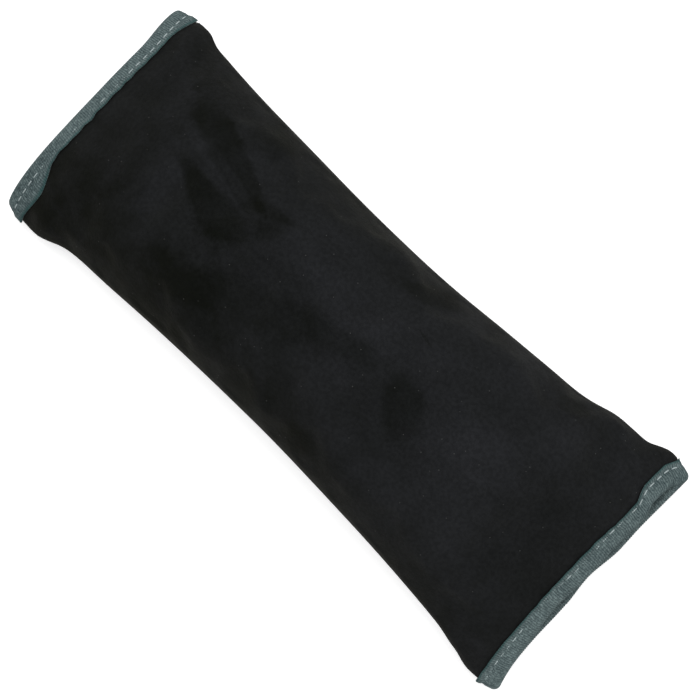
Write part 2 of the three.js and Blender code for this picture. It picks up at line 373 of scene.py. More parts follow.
def corner_lift(t, v):
    """How far the back hem of the wide end curls up beside its hook side corner."""
    curl = 1 - smoothstep(to_hem(t), 0, HOOK_CORNER_LIFT_RUN)
    lift = HOOK_CORNER_LIFT * curl * smoothstep(v, HOOK_CORNER_LIFT_START, HOOK_CORNER_LIFT_FULL)
    return lift if end_of(t) == WIDE else 0


def across_front(turn):
    return math.sin(math.pi * (turn - LOOP_SEAM - 0.5))


def skin(t, turn, depth=0.0):
    """The point of the pad's skin at t, at a turn round the pad and a depth under the velour's face."""
    half = half_width(t)
    seam = seam_height(t)
    if LOOP_SEAM <= turn <= HOOK_SEAM:
        v = across_front(turn)
        y = (half - depth) * v
        z = seam + (crown_height(t) - seam - depth) * arch_share(t, v)
        z += swell(t, v) + gathers(t, v, half * v)
        return Vector((t * hem_reach(end_of(t), v, True), y + sway(t, v), z))
    side = -1 if turn < LOOP_SEAM else 1
    from_seam = LOOP_SEAM - turn if side < 0 else turn - HOOK_SEAM
    flat = base_half(t)
    base = base_height(t)
    if from_seam <= 1:
        bend = from_seam * math.pi / 2
        v = side * (flat + (half - flat) * math.cos(bend)) / half
        base += corner_lift(t, v)
        y = side * (flat + (half - flat - depth) * math.cos(bend))
        z = seam - (seam - base - depth) * math.sin(bend)
    else:
        across = lerp(flat, -FLAP_OVERLAP / 2, from_seam - 1)
        foot = FLAP_OVERLAP / 2 + FLAP_EDGE_ROOM
        climb = FLAP_LIFT * (1 - smoothstep(across, foot, foot + FLAP_RAMP)) if side > 0 else 0
        y = side * across
        v = y / half
        z = base + corner_lift(t, v) + climb + depth
    return Vector((t * hem_reach(end_of(t), v, False), y + sway(t, v), z))


def stack_under(turn):
    """Thickness of the cloth that the binding holds: velour and lining in front, velour on the flaps."""
    from_front = max(0, LOOP_SEAM - turn, turn - HOOK_SEAM)
    return lerp(FRONT_STACK, VELOUR, min(1, from_front / LINING_END))


def insets(end, turn, distances):
    """The t of each distance in from the hem's fold, measured along the cloth."""
    reach = max(distances) * REACH_MARGIN
    ts = [end * (1 - i / REACH_STEPS * reach / (LENGTH / 2)) for i in range(REACH_STEPS + 1)]
    runs = [0.0]
    before = skin(ts[0], turn)
    for t in ts[1:]:
        here = skin(t, turn)
        runs.append(runs[-1] + (here - before).length)
        before = here
    return [table_lookup(distance, runs, ts) for distance in distances]


@functools.lru_cache(maxsize=None)
def cut_edges(turn, inset):
    """The t of the slim and of the wide cut edge of a cloth that ends at an inset from the hems."""
    return insets(SLIM, turn, [inset])[0], insets(WIDE, turn, [inset])[0]


def between_hems(turn, share, inset=HEM_INSET):
    slim, wide = cut_edges(turn, inset)
    return lerp(slim, wide, share)


# Meshes
def grid_mesh(rows, columns, place, uv_size=(1, 1), wrap=False):
    """A mesh whose rows and columns are placed by place(row, column), each from 0 to 1."""
    bm = bmesh.new()
    uv_layer = bm.loops.layers.uv.new("UVMap")
    bmesh.ops.create_grid(bm, x_segments=rows, y_segments=columns, size=0.5, calc_uvs=True)
    shares = {vert: (vert.co.x + 0.5, vert.co.y + 0.5) for vert in bm.verts}
    for face in bm.faces:
        for loop in face.loops:
            row, column = shares[loop.vert]
            loop[uv_layer].uv = (row * uv_size[0], column * uv_size[1])
    for vert, (row, column) in shares.items():
        vert.co = place(row, column)
    if wrap:
        bmesh.ops.remove_doubles(bm, verts=bm.verts, dist=TINY)
        rims = [edge for edge in bm.edges if edge.is_boundary]
        bmesh.ops.holes_fill(bm, edges=rims, sides=0)
    bmesh.ops.recalc_face_normals(bm, faces=bm.faces)
    return bm


def face_outwards(bm, pick, outwards):
    """Turns a single skin so that the face that pick finds looks the way that outwards says."""
    bm.faces.ensure_lookup_table()
    if pick(bm.faces).normal.dot(outwards) < 0:
        bmesh.ops.reverse_faces(bm, faces=bm.faces)


def highest(faces):
    return max(faces, key=lambda face: face.calc_center_median().z)


def lowest(faces):
    return min(faces, key=lambda face: face.calc_center_median().z)


def add_piece(name, bm, material):
    """The finished bmesh as an object on the one body of the pad."""
    for face in bm.faces:
        face.smooth = True
    mesh = bpy.data.meshes.new(name)
    bm.to_mesh(mesh)
    bm.free()
    mesh.materials.append(material)
    piece = bpy.data.objects.new(name, mesh)
    bpy.context.scene.collection.objects.link(piece)
    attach(piece, "root")
    return piece


def thicken(piece, thickness, edge_round, levels=0):
    """Rounds the cloth's faces, gives it its thickness inwards and softens its cut edges."""
    if levels:
        smooth = piece.modifiers.new("smooth", "SUBSURF")
        smooth.levels = levels
        smooth.render_levels = levels
    wall = piece.modifiers.new("wall", "SOLIDIFY")
    wall.thickness = thickness
    wall.offset = -1
    edges = piece.modifiers.new("edges", "BEVEL")
    edges.width = edge_round
    edges.segments = 3
    edges.limit_method = "ANGLE"
    edges.angle_limit = math.radians(50)


# Materials
def rgb(red, green, blue):
    """A colour given as it looks on a screen, from 0 to 255."""
    def linear(level):
        level /= 255
        return level / 12.92 if level <= 0.04045 else ((level + 0.055) / 1.055) ** 2.4
    return (linear(red), linear(green), linear(blue), 1)


class Cloth:
    """The node tree of one cloth."""

    def __init__(self, name, roughness, specular=0.2, sheen=0.0, sheen_tint=(1, 1, 1, 1)):
        self.material = bpy.data.materials.new(name)
        self.material.use_nodes = True
        self.tree = self.material.node_tree
        self.tree.nodes.clear()
        output = self.tree.nodes.new("ShaderNodeOutputMaterial")
        self.shader = self.add("ShaderNodeBsdfPrincipled", {
            "Roughness": roughness,
            "Specular IOR Level": specular,
            "Sheen Weight": sheen,
            "Sheen Tint": sheen_tint,
        })
        self.tree.links.new(self.shader.outputs["BSDF"], output.inputs["Surface"])
        self.where = self.add("ShaderNodeTexCoord", {})

    def add(self, kind, inputs, **settings):
        node = self.tree.nodes.new(kind)
        for key, value in settings.items():
            setattr(node, key, value)
        for key, value in inputs.items():
            if isinstance(value, bpy.types.NodeSocket):
                self.tree.links.new(value, node.inputs[key])
            else:
                node.inputs[key].default_value = value
        return node

    def math(self, operation, *values):
        return self.add("ShaderNodeMath", dict(enumerate(values)), operation=operation).outputs[0]

    def noise(self, scale, detail=2.0, roughness=0.5, distortion=0.0):
        node = self.add("ShaderNodeTexNoise", {
            "Vector": self.where.outputs["Object"],
            "Scale": scale,
            "Detail": detail,
            "Roughness": roughness,
            "Distortion": distortion,
        })
        return node.outputs["Fac"]

    def ramp(self, value, low, high, new_low=0.0, new_high=1.0):
        node = self.add("ShaderNodeMapRange", {
            "Value": value,
            "From Min": low,
            "From Max": high,
            "To Min": new_low,
            "To Max": new_high,
        }, interpolation_type="SMOOTHSTEP")
        return node.outputs[0]

    def mix(self, share, first, second):
        node = self.add("ShaderNodeMix", {}, data_type="RGBA")
        for socket, value in zip((0, 6, 7), (share, first, second)):
            if isinstance(value, bpy.types.NodeSocket):
                self.tree.links.new(value, node.inputs[socket])
            else:
                node.inputs[socket].default_value = value
        return node.outputs[2]

    def shade(self, colour, strength):
        """The colour made lighter or darker by a strength round 1."""
        return self.add("ShaderNodeHueSaturation", {"Value": strength, "Color": colour}).outputs[0]

    def bump(self, height, distance, strength=1.0, under=None):
        node = self.add("ShaderNodeBump", {"Height": height, "Distance": distance, "Strength": strength})
        if under is not None:
            self.tree.links.new(under, node.inputs["Normal"])
        return node.outputs["Normal"]

    def finish(self, colour, normal):
        self.tree.links.new(colour, self.shader.inputs["Base Color"])
        self.tree.links.new(normal, self.shader.inputs["Normal"])
        return self.material


def brush_and_painted_light_mark(cloth, tone, ragged, centre, reach, turn, taper, change, softness):
    """Adds to the tone in a drop shape with ragged edges: strokes that have turned the pile, and painted
    light and shade.
    """
    x, y = centre
    along, across = reach
    placed = cloth.add("ShaderNodeMapping", {
        "Vector": cloth.where.outputs["Object"],
        "Location": (x * MM, y * MM, CROWN_HEIGHT),
        "Rotation": (0, 0, math.radians(turn)),
        "Scale": (along * MM, across * MM, 2 * CROWN_HEIGHT),
    }, vector_type="TEXTURE")
    place = cloth.add("ShaderNodeSeparateXYZ", {"Vector": placed.outputs[0]})
    narrowed = cloth.math("MULTIPLY_ADD", place.outputs["X"], taper, 1)
    drop = cloth.add("ShaderNodeCombineXYZ", {
        "X": place.outputs["X"],
        "Y": cloth.math("MULTIPLY", place.outputs["Y"], narrowed),
        "Z": place.outputs["Z"],
    })
    away = cloth.add("ShaderNodeVectorMath", {0: drop.outputs[0]}, operation="LENGTH").outputs["Value"]
    frayed = cloth.math("ADD", away, ragged)
    return cloth.math("ADD", tone, cloth.ramp(frayed, 1 - softness, 1 + softness, change, 0))


def velour_pile(name, tone_marks):
    """Near-black pile, lighter and bluer where its tone is raised: at random where it is brushed, by
    strokes of turned pile, and by broad painted light; darker under broad painted shade.
    """
    cloth = Cloth(name, 0.95, specular=0.05, sheen=0.12, sheen_tint=rgb(186, 184, 170))
    brushed = cloth.ramp(cloth.noise(13, detail=3, roughness=0.6, distortion=0.8), 0.36, 0.64)
    streaks = cloth.ramp(cloth.noise(55, detail=4, roughness=0.65), 0.3, 0.7)
    clumps = cloth.noise(620, detail=3, roughness=0.6)
    pile = cloth.noise(2600, detail=2)
    edges = cloth.noise(110, detail=4, roughness=0.7)
    ragged = cloth.math("MULTIPLY_ADD", edges, 0.6, -0.3)
    tone = cloth.math("MULTIPLY_ADD", brushed, 0.24, 0.31)
    tone = cloth.math("MULTIPLY_ADD", streaks, 0.16, tone)
    for tone_mark in tone_marks:
        tone = brush_and_painted_light_mark(cloth, tone, ragged, *tone_mark)
    colour = cloth.mix(tone, rgb(10, 12, 9), rgb(39, 40, 43))
    shaded = cloth.shade(colour, cloth.ramp(clumps, 0.3, 0.7, 0.82, 1.2))
    lint = cloth.add("ShaderNodeTexVoronoi", {"Vector": cloth.where.outputs["Object"], "Scale": 400})
    chance = cloth.add("ShaderNodeSeparateColor", {"Color": lint.outputs["Color"]}).outputs[0]
    speck = cloth.math("LESS_THAN", lint.outputs["Distance"], 0.09)
    speck = cloth.math("MULTIPLY", speck, cloth.math("GREATER_THAN", chance, 0.88))
    linted = cloth.mix(cloth.math("MULTIPLY", speck, 0.3), shaded, rgb(110, 110, 108))
    normal = cloth.bump(pile, 0.25 * MM, 0.6, cloth.bump(clumps, 0.5 * MM, 0.4))
    return cloth.finish(linted, normal)


# Strokes of turned pile, and broad painted light and shade: centre and reach in millimetres, turn in
# degrees, taper, change of tone, softness
LONG_STREAK = ((-79, 23), (32, 6.8), -19, 0.3, -0.24, 0.2)
STREAK_ROOT = ((-105, 40), (20, 9), -14, 0, -0.12, 0.5)
STREAK_TAIL = ((-50.6, 18.5), (10, 3), 13, 0.5, -0.2, 0.4)
WEDGE = ((-73, 4), (22, 7), -16, -0.7, -0.34, 0.3)
COMBED_FOOT = ((-52, 7), (18, 6), 50, 0, -0.16, 0.4)
RIDGE = ((-81, 18), (27, 3.2), -8.5, 0.3, 0.16, 0.4)
# Broad painted shade: the slim end, the slim half's loop side, the loop side and the wide end are
# darkened
SLIM_END_PAINTED_SHADE = ((-134, 0), (30, 66), 0, 0, -0.26, 0.5)
SLIM_LOOP_PAINTED_SHADE = ((-84, -42), (60, 26), 4, 0, -0.2, 0.5)
LOOP_SIDE_PAINTED_SHADE = ((30, -52), (110, 20), -3, 0, -0.22, 0.5)
WIDE_END_PAINTED_SHADE = ((124, -10), (24, 44), 8, 0, -0.26, 0.5)
HALF_WAY_BAND = ((-34, -16), (52, 9), 20, 0, -0.2, 0.5)
CENTRE_BAND = ((4, -1), (22, 6), 8, 0, -0.12, 0.5)
THUMB_PRINT = ((43, -2), (13, 8.5), -46, -0.2, -0.3, 0.3)
LOOP_SIDE_SPOT = ((21, -40), (9, 5), 10, 0, -0.2, 0.5)
HOOK_SIDE_SPOT = ((19, 39), (14, 4), 24, 0, -0.24, 0.4)
# Painted shade along the hook side
HOOK_SIDE_PAINTED_SHADE = ((-60, 44), (60, 9), -4, 0, -0.18, 0.5)
WIDE_CORNER_SPOT = ((91, 46), (8, 4), 10, 0, -0.2, 0.5)
# Painted shade of a small crease
CREASE_PAINTED_SHADE = ((30, 24.5), (4, 0.5), -12, 0, -0.22, 0.4)
# Broad painted light over the wide half and the middle of the front
WIDE_HALF_PAINTED_LIGHT = ((76, 22), (46, 28), 4, 0, 0.12, 0.6)
CENTRE_PAINTED_LIGHT = ((-6, 18), (36, 15), -6, 0, 0.12, 0.6)
FRONT_STROKES_AND_PAINTED_LIGHT = (
    SLIM_END_PAINTED_SHADE, SLIM_LOOP_PAINTED_SHADE, LOOP_SIDE_PAINTED_SHADE, WIDE_END_PAINTED_SHADE, HOOK_SIDE_PAINTED_SHADE, WIDE_HALF_PAINTED_LIGHT,
    CENTRE_PAINTED_LIGHT, LONG_STREAK, STREAK_ROOT, STREAK_TAIL, WEDGE, COMBED_FOOT, RIDGE, HALF_WAY_BAND,
    CENTRE_BAND, THUMB_PRINT, LOOP_SIDE_SPOT, HOOK_SIDE_SPOT, WIDE_CORNER_SPOT, CREASE_PAINTED_SHADE,
)
# Painted shade on the knit beside the slim band's loose corner
LOOSE_CORNER_PAINTED_SHADE = ((-136, -44), (13, 19), 0, 0, -0.26, 0.6)


def knit_material():
    """Slate grey ribbed knit, darker between its ribs, with painted shade beside the slim band's loose
    corner, and darker teal at its cut edge: partly the edge's own colour and partly painted shade where
    the band meets the velour.
    """
    cloth = Cloth("slate_binding", 0.85, specular=0.1, sheen=0.1, sheen_tint=rgb(200, 220, 220))
    uv = cloth.add("ShaderNodeSeparateXYZ", {"Vector": cloth.where.outputs["UV"]})
    wander = cloth.math("MULTIPLY", cloth.noise(300), 1.4 * MM)
    phase = cloth.math("MULTIPLY", cloth.math("ADD", uv.outputs["X"], wander), math.pi / RIB_PITCH)
    ribbed = cloth.ramp(cloth.math("ABSOLUTE", cloth.math("SINE", phase)), 0, 0.8)
    patches = cloth.ramp(cloth.noise(160, detail=3), 0.3, 0.7)
    loops = cloth.ramp(cloth.noise(900, detail=2, roughness=0.7), 0.35, 0.65)
    yarn = cloth.noise(2600, detail=2, roughness=0.6)
    tone = cloth.math("MULTIPLY", ribbed, cloth.math("MULTIPLY_ADD", loops, 0.4, 0.3))
    tone = cloth.math("MULTIPLY_ADD", loops, 0.15, tone)
    tone = cloth.math("MULTIPLY_ADD", patches, 0.2, tone)
    # painted shade at the slim band's loose corner
    tone = brush_and_painted_light_mark(cloth, tone, 0, *LOOSE_CORNER_PAINTED_SHADE)
    colour = cloth.mix(tone, rgb(46, 61, 64), rgb(119, 135, 135))
    # Darker teal along the cut edge: partly its own colour, partly painted shade where the band meets the
    # velour
    into_band = cloth.math("MULTIPLY_ADD", loops, -0.6 * MM, uv.outputs["Y"])
    colour = cloth.mix(cloth.ramp(into_band, 0, 1 * MM, 0.75, 0), colour, rgb(38, 74, 73))
    flecked = cloth.shade(colour, cloth.ramp(yarn, 0.3, 0.7, 0.86, 1.12))
    return cloth.finish(flecked, cloth.bump(loops, 0.3 * MM, 0.8))


def lining_material():
    """Thin plain-woven cloth."""
    cloth = Cloth("lining_cloth", 0.85)
    weave = cloth.add("ShaderNodeTexChecker", {"Vector": cloth.where.outputs["Object"], "Scale": 1600})
    fibres = cloth.noise(900)
    colour = cloth.mix(cloth.ramp(fibres, 0.3, 0.7), rgb(66, 78, 79), rgb(84, 98, 98))
    return cloth.finish(colour, cloth.bump(weave.outputs["Fac"], 0.08 * MM, 0.5))


def thread_material(name, dark, light):
    cloth = Cloth(name, 0.6, sheen=0.1)
    twist = cloth.noise(1800)
    return cloth.finish(cloth.mix(twist, dark, light), cloth.bump(twist, 0.05 * MM, 0.5))


def fibre_material():
    cloth = Cloth("white_fibre", 1.0, sheen=0.2)
    tufts = cloth.noise(260, detail=5, roughness=0.7)
    colour = cloth.mix(cloth.ramp(tufts, 0.3, 0.7), rgb(205, 205, 200), rgb(240, 240, 236))
    return cloth.finish(colour, cloth.bump(tufts, 1.2 * MM, 0.7))


def tape_material():
    cloth = Cloth("black_tape", 0.7, sheen=0.1)
    loops = cloth.noise(1500, detail=3, roughness=0.7)
    colour = cloth.mix(cloth.ramp(loops, 0.35, 0.65), rgb(17, 17, 18), rgb(38, 38, 40))
    return cloth.finish(colour, cloth.bump(loops, 0.4 * MM, 0.8))


front_velour = velour_pile("front_velour", FRONT_STROKES_AND_PAINTED_LIGHT)
back_velour = velour_pile("back_velour", ())
knit = knit_material()
lining_cloth = lining_material()
grey_thread = thread_material("grey_thread", rgb(150, 164, 166), rgb(196, 206, 206))
black_thread = thread_material("black_thread", rgb(22, 22, 24), rgb(52, 52, 56))
fibre = fibre_material()
black_tape = tape_material()


# Cushion
SEWN_STRIP = 0.6 * MM  # how far from a side seam the front is still held by it
CLOTH_SLACK = 0.012
STUFFING_PRESSURE = 4.0
FILLING_HOLD = 0.12  # how firmly the filling holds the cloth to its form, from 0 to 1
HOLD_STIFFNESS = 1.0
SWELLING_STEPS = 20
SWELLING_CAP = 0.8 * MM
TUFT_SIZE = 7 * MM
TUFT_DEPTH = 1.2 * MM


def puff_up(piece, sewn):
    """Lets the cloth swell under the pressure of its filling, with its sewn verts held."""
    group = piece.vertex_groups.new(name="held")
    group.add(range(len(piece.data.vertices)), FILLING_HOLD, "REPLACE")
    group.add(sewn, 1.0, "REPLACE")
    modifier = piece.modifiers.new("stuffing", "CLOTH")
    cloth = modifier.settings
    cloth.quality = 7
    cloth.mass = 0.3
    cloth.tension_stiffness = 18
    cloth.compression_stiffness = 18
    cloth.shear_stiffness = 8
    cloth.bending_stiffness = 60
    cloth.vertex_group_mass = group.name
    cloth.pin_stiffness = HOLD_STIFFNESS
    cloth.shrink_min = -CLOTH_SLACK
    cloth.use_pressure = True
    cloth.uniform_pressure_force = STUFFING_PRESSURE
    cloth.effector_weights.gravity = 0
    modifier.collision_settings.use_collision = False
    modifier.collision_settings.use_self_collision = False
    modifier.point_cache.frame_end = SWELLING_STEPS
    scene = bpy.context.scene
    scene.frame_end = SWELLING_STEPS
    for step in range(1, SWELLING_STEPS + 1):
        scene.frame_set(step)
    swollen = piece.evaluated_get(bpy.context.evaluated_depsgraph_get())
    shifts = [after.co - before.co for after, before in zip(swollen.data.vertices, piece.data.vertices)]
    piece.modifiers.remove(modifier)
    scene.frame_set(1)
    for vert, shift in zip(piece.data.vertices, shifts):
        vert.co += shift * min(1, SWELLING_CAP / max(shift.length, SWELLING_CAP / 100))
    piece.vertex_groups.remove(group)


def front_panel():
    """The domed velour front, stuffed from below and held along its hems and side seams."""
    def place(row, column):
        turn = lerp(LOOP_SEAM, HOOK_SEAM, column)
        return skin(between_hems(turn, row), turn)

    bm = grid_mesh(*FRONT_GRID, place)
    face_outwards(bm, highest, Vector((0, 0, 1)))
    piece = add_piece("velour_front", bm, front_velour)
    sewn = [vert.index for vert in piece.data.vertices if is_sewn(vert.co)]
    puff_up(piece, sewn)
    thicken(piece, VELOUR, VELOUR_EDGE_ROUND, levels=1)
    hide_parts("front_panel")


def is_sewn(point):
    t = max(-1, min(1, point.x / (LENGTH / 2)))
    on_seam = abs(point.y) > half_width(t) - SEWN_STRIP - BOW * (1 - t * t)
    return on_seam or to_hem(t) < FILLING_INSET


def flap(name, node, first_turn, last_turn):
    """A velour flap, from its side seam to its free edge."""
    def place(row, column):
        turn = lerp(first_turn, last_turn, column)
        return skin(between_hems(turn, row), turn)

    bm = grid_mesh(*BACK_GRID, place)
    face_outwards(bm, lowest, Vector((0, 0, -1)))
    piece = add_piece(name, bm, back_velour)
    thicken(piece, VELOUR, VELOUR_EDGE_ROUND)
    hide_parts(node)


def belt_ceiling(t, v):
    edge = seam_height(t) - LINING_TUCK
    past = max(0, abs(v) - FLAT_SHARE) / (1 - FLAT_SHARE)
    return edge + (CHANNEL_TOP - edge) * math.sqrt(max(0, 1 - past * past))


def lining_point(t, turn, rise):
    """The lining lies against the front in the hem, and comes down to the belt channel inside it."""
    v = across_front(turn)
    in_hem = skin(t, turn, FRONT_STACK - rise)
    over_belt = Vector((
        in_hem.x,
        (half_width(t) - FRONT_STACK - EASE) * v + sway(t, v),
        belt_ceiling(t, v) + rise,
    ))
    run = min(1, max(0, (to_hem(t) - BINDING_WIDTH) / LINING_DROP_RUN))
    return in_hem.lerp(over_belt, math.sin(run * math.pi / 2))


def belt_lining():
    def place(row, column):
        turn = lerp(LOOP_SEAM, HOOK_SEAM, column)
        return lining_point(between_hems(turn, row), turn, LINING)

    bm = grid_mesh(*BACK_GRID, place)
    face_outwards(bm, highest, Vector((0, 0, 1)))
    piece = add_piece("belt_channel_lining", bm, lining_cloth)
    thicken(piece, LINING, LINING_EDGE_ROUND)
    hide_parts("belt_lining")


def filling():
    """The wad of fibre between the front and the lining, with a tufted surface."""
    def place(row, column):
        step = round(column * FILLING_COLUMNS) % FILLING_COLUMNS
        across = step / (FILLING_COLUMNS / 2)
        over = across <= 1
        turn = lerp(LOOP_SEAM, HOOK_SEAM, across if over else 2 - across)
        t = between_hems(turn, row, FILLING_INSET)
        if not over:
            return lining_point(t, turn, LINING + EASE)
        tufts = 0.5 + 0.5 * noise.noise(skin(t, turn) / TUFT_SIZE)
        return skin(t, turn, VELOUR + EASE + TUFT_DEPTH * tufts * (1 - across_front(turn) ** 2))

    bm = grid_mesh(FILLING_ROWS, FILLING_COLUMNS, place, wrap=True)
    piece = add_piece("fibre_filling", bm, fibre)
    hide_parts("filling")


# Bound hems
class Mouth:
    """One bound end of the pad, with even steps along its hem from the loop flap to the hook flap."""

    def __init__(self, end):
        self.end = end
        self.turns = [lerp(LOOP_EDGE, HOOK_EDGE, i / HEM_SAMPLES) for i in range(HEM_SAMPLES + 1)]
        points = [skin(end, turn) for turn in self.turns]
        self.runs = [0.0]
        for before, here in zip(points, points[1:]):
            self.runs.append(self.runs[-1] + (here - before).length)
        self.length = self.runs[-1]
        self.distances = [2 * BINDING_WIDTH * i / INSET_STEPS for i in range(INSET_STEPS + 1)]
        self.inset_at = functools.lru_cache(maxsize=None)(self.measure)

    def measure(self, turn):
        return insets(self.end, turn, self.distances)

    def turn_at(self, along):
        return table_lookup(along, self.runs, self.turns)

    def point(self, along, inset, depth):
        turn = self.turn_at(along)
        return skin(table_lookup(inset, self.distances, self.inset_at(turn)), turn, depth)

    def from_corner(self, along):
        """0 at the corners where the stitches show, not at the wide end's loop side, and 1 elsewhere."""
        turn = self.turn_at(along)
        if not LOOP_SEAM <= turn <= HOOK_SEAM:
            return 1
        v = across_front(turn)
        return 1 - smoothstep(abs(v) if self.end == SLIM else v, STITCHES_START, STITCHES_FULL)

    def band_width(self, along):
        """Width of the folded strip here, a little uneven."""
        turn = self.turn_at(along)
        uneven = noise.noise(Vector((along / BAND_UNEVEN_RUN, self.end, BAND_SEED)))
        width = BINDING_WIDTH + BAND_UNEVENNESS * uneven
        on_front = LOOP_SEAM <= turn <= HOOK_SEAM
        return width + widening(self.end, across_front(turn)) if on_front else width


def rib(along):
    """Height of the knit's ribs: rounded tops with narrow valleys."""
    return RIB_HEIGHT * (abs(math.sin(math.pi * along / RIB_PITCH)) ** RIB_ROUNDNESS - RIB_FOOT)


def stitch_dip(along, inset):
    """How far the stitches pull the band down, most at the needle holes."""
    hole = 0.5 + 0.5 * math.cos(2 * math.pi * along / STITCH_PITCH)
    depth = 1 - NEEDLE_HOLE + NEEDLE_HOLE * hole
    return STITCH_SINK * bell(inset, STITCH_INSET, STITCH_VALLEY) * depth


def pucker(along, inset):
    """Small uneven folds of the strip between the stitches and its cut edge."""
    free = smoothstep(inset, STITCH_INSET, STITCH_INSET + PUCKER_START_RUN)
    folds = noise.noise(Vector((along / PUCKER_LENGTH, inset / PUCKER_WIDTH, PUCKER_SEED)))
    return PUCKER_HEIGHT * free * (PUCKER_LEVEL + folds)


def band_section():
    """Points of the folded strip's section: its leg or fold, and a share of that."""
    outer_leg = [("outer", 1 - i / OUTER_STEPS) for i in range(OUTER_STEPS)]
    fold = [("fold", math.pi * (i / FOLD_STEPS - 0.5)) for i in range(FOLD_STEPS + 1)]
    inner_leg = [("inner", i / INNER_STEPS) for i in range(1, INNER_STEPS + 1)]
    return outer_leg + fold + inner_leg


def binding(end, name, node):
    """The folded knit strip of one mouth, with its ribs and the valley of its stitches."""
    mouth = Mouth(end)
    outside = [(kind, share, True) for kind, share in band_section()]
    inside = [(kind, share, False) for kind, share in band_section()[::INSIDE_STRIDE]]
    ring = outside + inside[::-1] + outside[:1]
    stations = int(mouth.length / RIB_PITCH * STATIONS_PER_RIB)

    def place(row, column):
        along = row * mouth.length
        kind, share, on_outside = ring[round(column * (len(ring) - 1))]
        middle = stack_under(mouth.turn_at(along)) / 2
        spread = middle + (LEG if on_outside else EASE)
        texture = rib(along) if on_outside else 0
        if kind == "fold":
            reach = (FOLD_DEPTH if on_outside else FOLD_DEPTH - BINDING) + texture
            inset = FOLD_DEPTH - reach * math.cos(share)
            return mouth.point(along, inset, middle + (spread + texture) * math.sin(share))
        inset = lerp(FOLD_DEPTH, mouth.band_width(along), share)
        if on_outside:
            texture += pucker(along, inset) - stitch_dip(along, inset)
        side = -1 if kind == "outer" else 1
        return mouth.point(along, inset, middle + side * (spread + texture))

    girth = (len(ring) - 1) * (BINDING_WIDTH - FOLD_DEPTH) / OUTER_STEPS
    bm = grid_mesh(stations, len(ring) - 1, place, uv_size=(mouth.length, girth), wrap=True)
    piece = add_piece(name, bm, knit)
    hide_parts(node)
    return mouth


def stitch_mesh():
    """One thread stitch, lying along X, as a capsule."""
    bm = bmesh.new()
    bmesh.ops.create_uvsphere(bm, u_segments=8, v_segments=6, radius=THREAD_RADIUS)
    bmesh.ops.rotate(bm, verts=bm.verts, matrix=Matrix.Rotation(math.radians(90), 3, "Y"))
    half = STITCH_LENGTH / 2 - THREAD_RADIUS
    for vert in bm.verts:
        vert.co.x += math.copysign(half, vert.co.x) if abs(vert.co.x) > TINY else 0
    mesh = bpy.data.meshes.new("stitch")
    bm.to_mesh(mesh)
    bm.free()
    return mesh


def running_stitch(name, stitches, material):
    """Stitches from start to finish, each with the way out of the cloth."""
    stitch = stitch_mesh()
    row = bmesh.new()
    for start, finish, outward in stitches:
        along = (finish - start).normalized()
        side = outward.cross(along).normalized()
        placed = Matrix((along, side, along.cross(side))).transposed()
        before = len(row.verts)
        row.from_mesh(stitch)
        row.verts.ensure_lookup_table()
        for vert in row.verts[before:]:
            sag = STITCH_SAG * (vert.co.x / (STITCH_LENGTH / 2)) ** 2
            vert.co = (start + finish) / 2 + placed @ (vert.co - Vector((0, 0, sag)))
    bpy.data.meshes.remove(stitch)
    return add_piece(name, row, material)


def hem_stitches(mouth, name):
    """The running stitch on both faces of one mouth's binding."""
    stitches = []
    for i in range(int(mouth.length / STITCH_PITCH) - 1):
        middle_run = (i + 0.5) * STITCH_PITCH
        uneven = noise.noise(Vector((i / BURIAL_RUN, mouth.end, BURIAL_SEED)))
        deep = BURIAL_LEVEL + BURIAL_UNEVENNESS * uneven
        buried = STITCH_BURIAL * max(0, deep) * mouth.from_corner(middle_run)
        for side in (-1, 1):
            ends = []
            for reach in (-0.5, 0.5):
                along = middle_run + reach * STITCH_LENGTH
                middle = stack_under(mouth.turn_at(along)) / 2
                dip = stitch_dip(middle_run, STITCH_INSET) + buried - THREAD_SHOWING * THREAD_RADIUS
                ends.append(mouth.point(along, STITCH_INSET, middle + side * (middle + LEG - dip)))
            under = mouth.point(middle_run, STITCH_INSET, middle)
            stitches.append((*ends, (ends[0] + ends[1]) / 2 - under))
    running_stitch(name, stitches, grey_thread)


def tape_stitches(name, height, outward):
    """The two rows that hold a tape to its flap, on the flap's other face."""
    stitches = []
    reach = LENGTH / 2 - TAPE_INSET - TAPE_STITCH_END
    for y in (-TAPE_WIDTH / 2 + TAPE_STITCH_INSET, TAPE_WIDTH / 2 - TAPE_STITCH_INSET):
        for i in range(int(2 * reach / STITCH_PITCH)):
            start = Vector((i * STITCH_PITCH - reach, y, height))
            stitches.append((start, start + Vector((STITCH_LENGTH, 0, 0)), outward))
    running_stitch(name, stitches, black_thread)


front_panel()
filling()
belt_lining()
flap("loop_side_flap", "loop_flap", LOOP_SEAM, LOOP_EDGE)
flap("hook_side_flap", "hook_flap", HOOK_SEAM, HOOK_EDGE)
tape_stitches("loop_tape_stitches", TAPE_STITCH_SINK, Vector((0, 0, -1)))
tape_stitches("hook_tape_stitches", FLAP_LIFT + VELOUR - TAPE_STITCH_SINK, Vector((0, 0, 1)))
hem_stitches(binding(WIDE, "wide_end_band", "wide_end_binding"), "wide_end_stitches")
hem_stitches(binding(SLIM, "slim_end_band", "slim_end_binding"), "slim_end_stitches")

for node in ("loop_tape", "hook_tape"):
    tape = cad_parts[node]
    tape.data.materials.clear()
    tape.data.materials.append(black_tape)


# Table, light and camera
def new_tree(owner):
    owner.use_nodes = True
    owner.node_tree.nodes.clear()
    return owner.node_tree


